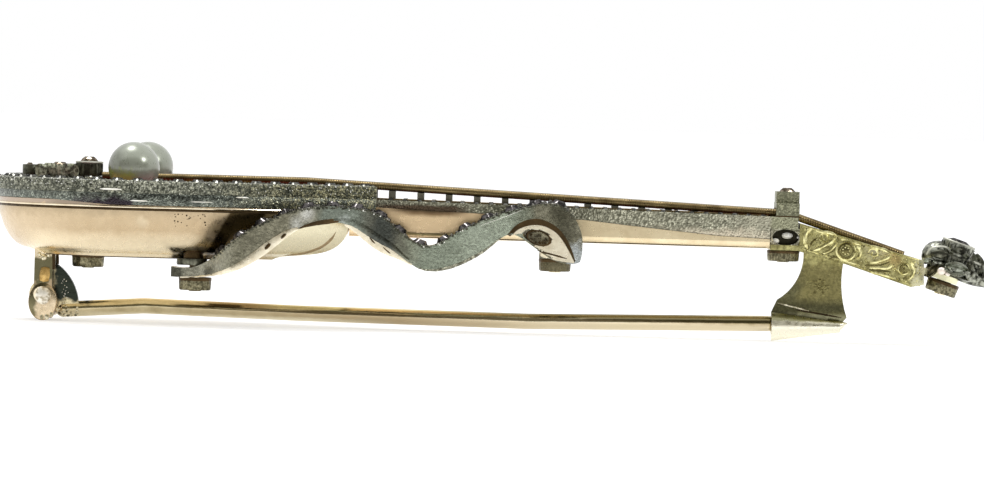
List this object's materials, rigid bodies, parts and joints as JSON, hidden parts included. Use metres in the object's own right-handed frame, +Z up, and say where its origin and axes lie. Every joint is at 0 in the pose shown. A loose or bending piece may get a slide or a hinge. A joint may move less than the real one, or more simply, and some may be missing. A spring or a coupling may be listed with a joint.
{
  "type": "lute-shaped enamel brooch",
  "caption": "Lute-shaped gold and silver brooch with an enamel front, pearls on its bridge, a stone-set ribbon and a hinged pin with a catch.",
  "frame": {"origin": "under the middle of the whole brooch, on the surface that it stands on", "axes": "+X along the brooch towards its head, +Z up through its front, +Y away from the ribbon"},
  "size_m": [0.067, 0.0176, 0.012],
  "materials": {
    "rose_gold": "polished rose gold",
    "silver": "oxidised silver, millegrained edges",
    "red_enamel": "translucent enamel on gold",
    "string_gold": "worn yellow gold",
    "fret_metal": "oxidised silver",
    "green_gold": "chased green gold",
    "nut_gold": "knurled gold",
    "pearl": "pearl lustre",
    "diamond": "cut diamond"
  },
  "bodies": {
    "brooch": {"bowl_with_hinge": "rose_gold", "gold_frame": "rose_gold", "hinge_rivet": "rose_gold", "silver_border": "silver", "tail_ornament": "silver", "nut_post": "silver", "terminal": "silver", "ribbon": "silver", "soundboard": "red_enamel", "fingerboard": "red_enamel", "string_1": "string_gold", "string_2": "string_gold", "string_3": "string_gold", "string_4": "string_gold", "bridge": "string_gold", "soundhole_ring": "string_gold", "fret_01": "fret_metal", "fret_02": "fret_metal", "fret_03": "fret_metal", "fret_04": "fret_metal", "fret_05": "fret_metal", "fret_06": "fret_metal", "fret_07": "fret_metal", "fret_08": "fret_metal", "fret_09": "fret_metal", "fret_10": "fret_metal", "fret_11": "fret_metal", "fret_12": "fret_metal", "head_with_catch": "green_gold", "screw_nut_tail": "nut_gold", "screw_nut_ribbon_bowl": "nut_gold", "screw_nut_ribbon_neck": "nut_gold", "screw_nut_neck_end": "nut_gold", "screw_nut_terminal": "nut_gold", "pearl_near": "pearl", "pearl_far": "pearl", "border_diamonds": "diamond", "neck_diamonds": "diamond", "ribbon_diamonds": "diamond", "terminal_stones": "diamond", "small_collet_stone": "diamond", "middle_collet_stone": "diamond", "drum_collet_stone": "diamond", "nut_post_stone": "diamond"},
    "pin": {"pin_stem": "rose_gold"}
  },
  "joints": [
    {"name": "pin_swing", "type": "hinge", "parent": "brooch", "child": "pin", "pos_m": [-0.03024, 0.00032, 0.00173], "axis": [0, 1, 0], "range_deg": [0, 75]}
  ]
}
